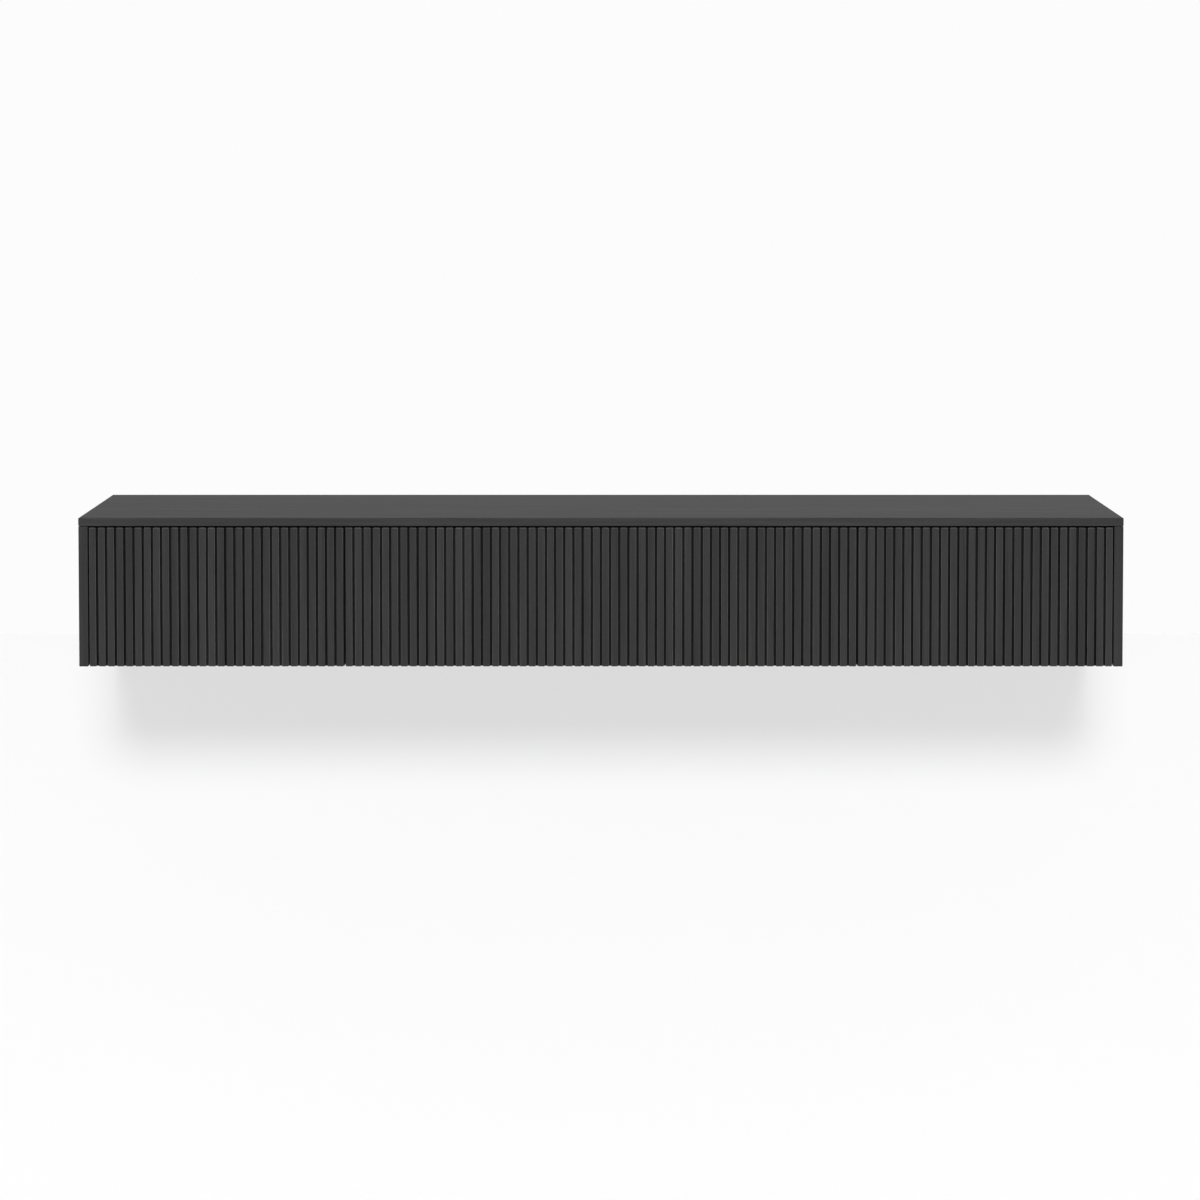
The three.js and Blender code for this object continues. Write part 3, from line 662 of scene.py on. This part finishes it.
# %% Carcass boards
CARCASS_ARRIS = 0.00015
carcass = [dressed(node, laminate, CARCASS_ARRIS)
           for node in ("divider_left", "divider_right", "bottom_panel", "back_panel")]
print("carcass boards:", [piece.name for piece in carcass])

# %% [markdown]
# The drawer boxes and the hanging rails are of plywood with its edges left bare. The fingers of the
# corner joints show the layers of one board beside the veneer of the other, which is why each board gets
# the plywood finish that fits the way it stands.

# %% Plywood boxes and hanging rails
PLY_ARRIS = 0.0003
box_finish = {
    "box_side_panel_side": box_side_ply,
    "box_divider_side": box_side_ply,
    "box_front": box_end_ply,
    "box_back": box_end_ply,
    "box_bottom": box_floor_ply,
}
boxes = [dressed(f"{side}_drawer_{board}", finish, PLY_ARRIS)
         for side in ("left", "right") for board, finish in box_finish.items()]
rails = [dressed(node, rail_ply, PLY_ARRIS)
         for node in ("cabinet_cleat", "wall_cleat", "wall_spacer_left", "wall_spacer_right")]
print("plywood pieces:", len(boxes) + len(rails))

# %% [markdown]
# The metal and moulded parts are small and sharp-edged by nature: pressing and moulding leave an edge
# round of a tenth or a few tenths of a millimetre. The frame names the material of each part, so one
# list of finishes with their edge rounds dresses them all.

# %% Hardware
hardware_finish = {
    "zinc_steel": (zinc, 0.00008),
    "nickel_steel": (nickel, 0.00015),
    "grey_plastic": (latch_grey, 0.0003),
    "black_plastic": (ring_black, 0.0003),
    "pale_rubber": (buffer_pale, 0.00025),
}
hardware = [dressed(node, *hardware_finish[slot])
            for node, slot in slot_of.items() if slot in hardware_finish]
print("hardware pieces:", len(hardware))

# %% [markdown]
# Screws hold the runners, hinges and latches, and fill the holes in their sheet. A head is a round lathe
# profile with a cross recess sunk into its flat middle. The recess could be cut with a Boolean, but that
# leaves slivers round the rim. Here the ring of faces between the round rim and the cross outline is
# filled, and the cross is drawn down to its floor.

# %% One screw head
HEAD_STEPS = 24
HEAD_PROFILE = ((1.0, 0.35), (0.93, 0.75), (0.76, 0.96), (0.56, 1.0))
FLUSH_LIMIT = 0.0008
FLUSH_BASE = -0.0009
FLUSH_RECESS = 0.0006
RECESS_SHARE = 0.8
DEEPEST_RISE = 0.0012
CROSS_ARM = 0.42
CROSS_HALF = 0.11
CROSS_TAPER = (0.6, 0.8)


def neighbours(row):
    """Each item of a closed row with the one after it."""
    return list(zip(row, row[1:] + row[:1]))


def cross_outline(radius):
    """The twelve corners of the cross in a head of this radius."""
    arm, half = radius * CROSS_ARM, radius * CROSS_HALF
    outline = []
    for quarter in range(4):
        along, across = round(cos(quarter * pi / 2)), round(sin(quarter * pi / 2))
        for x, y in ((arm, -half), (arm, half), (half, half)):
            outline.append((x * along - y * across, x * across + y * along))
    return outline


def add_screw(shape, centre, toward, radius, rise, turn):
    """One closed screw head on centre that faces toward; a flush one also reaches down into its hole."""
    flush = rise <= FLUSH_LIMIT
    base = FLUSH_BASE if flush else 0.0
    recess = FLUSH_RECESS if flush else min(rise, DEEPEST_RISE) * RECESS_SHARE
    facing = Vector(toward).to_track_quat("Z", "Y").to_matrix().to_4x4()
    where = Matrix.Translation(centre) @ facing @ Matrix.Rotation(turn, 4, "Z")

    def corners(points, height):
        return [shape.verts.new(where @ Vector((x, y, height))) for x, y in points]

    def circle(reach):
        turns = [tau * step / HEAD_STEPS for step in range(HEAD_STEPS)]
        return [(reach * cos(angle), reach * sin(angle)) for angle in turns]

    rings = [corners(circle(radius), base)]
    rings += [corners(circle(radius * reach), rise * up) for reach, up in HEAD_PROFILE]
    shape.faces.new(list(reversed(rings[0])))
    for below, above in zip(rings, rings[1:]):
        for (low, low_next), (high, high_next) in zip(neighbours(below), neighbours(above)):
            shape.faces.new((low, low_next, high_next, high))
    outline = cross_outline(radius)
    lip = corners(outline, rise)
    floor = corners([(x * CROSS_TAPER[0], y * CROSS_TAPER[1]) for x, y in outline], rise - recess)
    rim_edges = [shape.edges.get(pair) for pair in neighbours(rings[-1])]
    lip_edges = [shape.edges.new(pair) for pair in neighbours(lip)]
    bmesh.ops.triangle_fill(shape, use_beauty=True, edges=rim_edges + lip_edges)
    for (near, near_next), (deep, deep_next) in zip(neighbours(lip), neighbours(floor)):
        shape.faces.new((near_next, near, deep, deep_next))
    shape.faces.new(floor)


print("screw helper is ready")

# %% [markdown]
# All the screws of one part are one mesh, which rides with that part. Each screw stops at an angle of its
# own, as under a screwdriver, which a copied head would not. Where the gap above the sheet is small, the
# head is flush, and elsewhere it stands proud. The size of a screw is its radius and its rise above the
# sheet.

# %% All the screws of one part
HEAD_CREASE = radians(40)
TURN_STEP = 1.1
TURN_START = 0.7


def screws(node, places, toward, radius, rise):
    """All the screws of one part, as one piece on that part's body."""
    shape = bmesh.new()
    for index, place in enumerate(places):
        turn = index * TURN_STEP + len(node) * TURN_START
        add_screw(shape, Vector(place), toward, radius, rise, turn)
    bmesh.ops.recalc_face_normals(shape, faces=shape.faces)
    piece = piece_of(shape, f"{node}_screws", zinc)
    piece.data.shade_smooth()
    piece.data.set_sharp_from_angle(angle=HEAD_CREASE)
    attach(piece, body_of[node])
    return piece


def middle(node):
    """The middle of a solid's box."""
    low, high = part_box(node)
    return [(start + end) / 2 for start, end in zip(low, high)]


print("screws can be placed")

# %% [markdown]
# A runner's rail is screwed to the cabinet and its slide to the drawer box. Nothing in the photograph
# gives the places of these screws, so they are read off the sheet that they hold: they sit on the inside
# of its web, at fixed shares of its length.

# %% Screws in the runners
RUNNER_SHARES = (0.1, 0.5, 0.9)
RUNNER_SHEET = 0.0012
RAIL_SCREW = (0.0022, 0.0003)
SLIDE_SCREW = (0.0036, 0.0014)
runner_screws = []
for side, outward in (("left", -1), ("right", 1)):
    for board, toward_box in (("side", -outward), ("divider", outward)):
        for member, toward, size in (("rail", toward_box, RAIL_SCREW), ("slide", -toward_box, SLIDE_SCREW)):
            node = f"{side}_drawer_{board}_runner_{member}"
            low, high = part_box(node)
            web = (low[0] if toward > 0 else high[0]) + toward * RUNNER_SHEET
            height = middle(node)[2]
            places = [(web, low[1] + share * (high[1] - low[1]), height) for share in RUNNER_SHARES]
            runner_screws.append(screws(node, places, (toward, 0, 0), *size))
print("runner members with screws:", len(runner_screws))

# %% [markdown]
# A latch housing has a flange on each side, with one screw through it. The latches of the drawers lie on
# the bottom panel and are screwed down, and those of the flap hang under the top and are screwed up. One
# sign tells the two apart, which is simpler than two recipes.

# %% Screws in the latches
FLANGE_REACH = 0.016
FLANGE_THICKNESS = 0.003
LATCH_SCREW = (0.0032, 0.0014)
latch_screws = []
for latch, up in (("left_drawer", 1), ("right_drawer", 1), ("flap_left", -1), ("flap_right", -1)):
    node = f"{latch}_latch_housing"
    low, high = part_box(node)
    seat = (low[2] if up > 0 else high[2]) + up * FLANGE_THICKNESS
    across, along, _ = middle(node)
    places = [(across + reach, along, seat) for reach in (-FLANGE_REACH, FLANGE_REACH)]
    latch_screws.append(screws(node, places, (0, 0, up), *LATCH_SCREW))
print("latches with screws:", len(latch_screws))

# %% [markdown]
# A hinge has one leaf on the cabinet and one on the flap. The cabinet leaf has one flush screw, because
# there is little room in front of it. The flap leaf is taller and has three in a row above the pin.

# %% Screws in the hinges
LEAF_THICKNESS = 0.0015
CABINET_LEAF_SCREW = (0.0021, 0.0002)
FLAP_LEAF_SCREW = (0.0034, 0.0010)
LEAF_REACH = 0.020
LEAF_SCREW_DROP = 0.016
hinge_screws = []
for side in ("left", "right"):
    node = f"flap_hinge_{side}_cabinet_leaf"
    low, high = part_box(node)
    across, _, height = middle(node)
    places = [(across, high[1] - LEAF_THICKNESS, height)]
    hinge_screws.append(screws(node, places, (0, -1, 0), *CABINET_LEAF_SCREW))
    node = f"flap_hinge_{side}_flap_leaf"
    low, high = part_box(node)
    across = middle(node)[0]
    height = high[2] - LEAF_SCREW_DROP
    places = [(across + reach, high[1], height) for reach in (-LEAF_REACH, 0.0, LEAF_REACH)]
    hinge_screws.append(screws(node, places, (0, 1, 0), *FLAP_LEAF_SCREW))
print("hinge leaves with screws:", len(hinge_screws))

# %% [markdown]
# The photograph shows the console against pure white, with one soft shadow under it. Where that shadow
# fades tells where the light stood: straight in front, about 32 degrees up, and some 14 degrees wide. Two
# such lamps a few degrees apart make the ends of the shadow softer than its lower edge. Light that comes
# in along the grooves like this reaches their feet and leaves their walls dark. Area lamps would do, but
# their light falls off along two metres of console. Each lamp is a sun with a disc as wide as the bank
# looks, so its light is as even as that of a bank far away. The banks overhead and at the sides are weak,
# and the one behind and below reaches only the back and the underside, for the views from there.

# %% Lamps
KEY_RISE = radians(32)
KEY_SPREAD = radians(4)
KEY_WIDTH = 14
KEY_STRENGTH = 0.825


def bank(name, toward, width, strength):
    """Even light from one side of the sky; toward points to the bank and width is its disc in degrees."""
    lamp = bpy.data.lights.new(name, "SUN")
    lamp.energy = strength
    lamp.angle = radians(width)
    put_in_scene(name, lamp).rotation_euler = Vector(toward).to_track_quat("Z", "Y").to_euler()


for side, turn in (("left", -KEY_SPREAD), ("right", KEY_SPREAD)):
    toward = (sin(turn) * cos(KEY_RISE), -cos(turn) * cos(KEY_RISE), sin(KEY_RISE))
    bank(f"key_bank_{side}", toward, KEY_WIDTH, KEY_STRENGTH)
bank("overhead_bank", (0.0, 0.1, 1.0), width=80, strength=0.5)
bank("left_bank", (-1.0, -0.3, 0.5), width=60, strength=0.15)
bank("right_bank", (1.0, -0.3, 0.5), width=60, strength=0.15)
bank("low_back_bank", (0.3, 1.0, -0.78), width=60, strength=1.6)
print("lamps:", [lamp.name for lamp in bpy.data.lights])

# %% [markdown]
# The walls of a studio fill the shade and are mirrored by whatever shines a little. A room could be built
# round the console, but the world can answer each kind of ray by itself: a matt surface gets a weak even
# fill, a shiny one mirrors a pale room, and the camera sees plain white. The top in the photograph is a
# little brighter towards its right end, so the room that is mirrored is brighter on that side.

# %% Room around the console
WHITE = 0.973
ROOM = 0.51
ROOM_LEAN = 0.3
FILL = 0.16
world = bpy.data.worlds.new("studio")
bpy.context.scene.world = world
world.use_nodes = True
air = world.node_tree
air.nodes.clear()


def even_light(strength):
    """White light of the given strength from everywhere."""
    return add(air, "ShaderNodeBackground", Color=(1, 1, 1, 1), Strength=strength).outputs[0]


direction = add(air, "ShaderNodeTexCoord").outputs["Generated"]
rightward = add(air, "ShaderNodeSeparateXYZ", Vector=direction).outputs[0]
room = spread(air, rightward, -1.0, 1.0, ROOM * (1 - ROOM_LEAN), ROOM * (1 + ROOM_LEAN))
ray = add(air, "ShaderNodeLightPath").outputs
light = add(air, "ShaderNodeMixShader", _0=ray["Is Glossy Ray"], _1=even_light(FILL), _2=even_light(room))
view = add(air, "ShaderNodeMixShader", _0=ray["Is Camera Ray"], _1=light.outputs[0], _2=even_light(WHITE))
add(air, "ShaderNodeOutputWorld", Surface=view.outputs[0])
bpy.context.scene.view_settings.view_transform = "Standard"
print("room:", ROOM, "fill:", FILL, "white:", WHITE)

# %% [markdown]
# Floor and backdrop are one sweep of pale paper, as photographers use: it hangs from just under the
# console's back edge, where the shadow falls, and bends forward into the floor. Nothing of it stands
# higher than the underside, so the console can be seen from behind too. The paper glows a little, which
# keeps the shadow as pale as in the photograph, and it casts no shadow of its own. Less light reaches
# the floor than the upright part, so the glow grows with the upward slope and evens this out. A second
# sheet backs the first, as the board behind such a paper does, and faces the other way.

# %% Paper sweep
STAGE_REACH = 30.0
STAGE_TONE = 0.52
UPRIGHT_GLOW = 0.424
FLOOR_GLOW = 0.635
BOARD_GLOW = 0.68
FLOOR_DROP = 1.6
SWEEP_RADIUS = 0.4
SWEEP_STEPS = 16
SWEEP_GAP = 0.002
BOARD_GAP = 0.0025


def pale_paper(name, upright_glow, floor_glow):
    """Plain matt paper that glows a little, by its upward slope."""
    material, tree, shader = new_finish(name)
    shader.inputs["Base Color"].default_value = (*grey(STAGE_TONE), 1)
    shader.inputs["Roughness"].default_value = 1.0
    shader.inputs["Specular IOR Level"].default_value = 0.0
    shader.inputs["Emission Color"].default_value = (1, 1, 1, 1)
    normal = add(tree, "ShaderNodeTexCoord").outputs["Normal"]
    slope = add(tree, "ShaderNodeSeparateXYZ", Vector=normal).outputs[2]
    glow = spread(tree, slope, 0.0, 1.0, upright_glow, floor_glow)
    tree.links.new(glow, shader.inputs["Emission Strength"])
    return material


def sheet(name, profile, material):
    """A wide sheet that follows a profile of (y, z) points."""
    corners = [(x, y, z) for y, z in profile for x in (-STAGE_REACH, STAGE_REACH)]
    strips = [(2 * row, 2 * row + 1, 2 * row + 3, 2 * row + 2) for row in range(len(profile) - 1)]
    mesh = bpy.data.meshes.new(name)
    mesh.from_pydata(corners, [], strips)
    mesh.shade_smooth()
    mesh.materials.append(material)
    piece = put_in_scene(name, mesh)
    piece.visible_shadow = False


floor_height = console_low.z - FLOOR_DROP
profile = [(-STAGE_REACH, floor_height)]
for step in range(SWEEP_STEPS + 1):
    turn = step / SWEEP_STEPS * pi / 2
    forward = SWEEP_GAP - SWEEP_RADIUS * (1 - sin(turn))
    profile.append((forward, floor_height + SWEEP_RADIUS * (1 - cos(turn))))
profile.append((SWEEP_GAP, console_low.z))
sheet("paper_sweep", profile, pale_paper("sweep_paper", UPRIGHT_GLOW, FLOOR_GLOW))
behind = [(BOARD_GAP, console_low.z), (BOARD_GAP, floor_height)]
sheet("paper_board", behind, pale_paper("board_paper", BOARD_GLOW, BOARD_GLOW))
print("floor", round(floor_height, 3), "m")
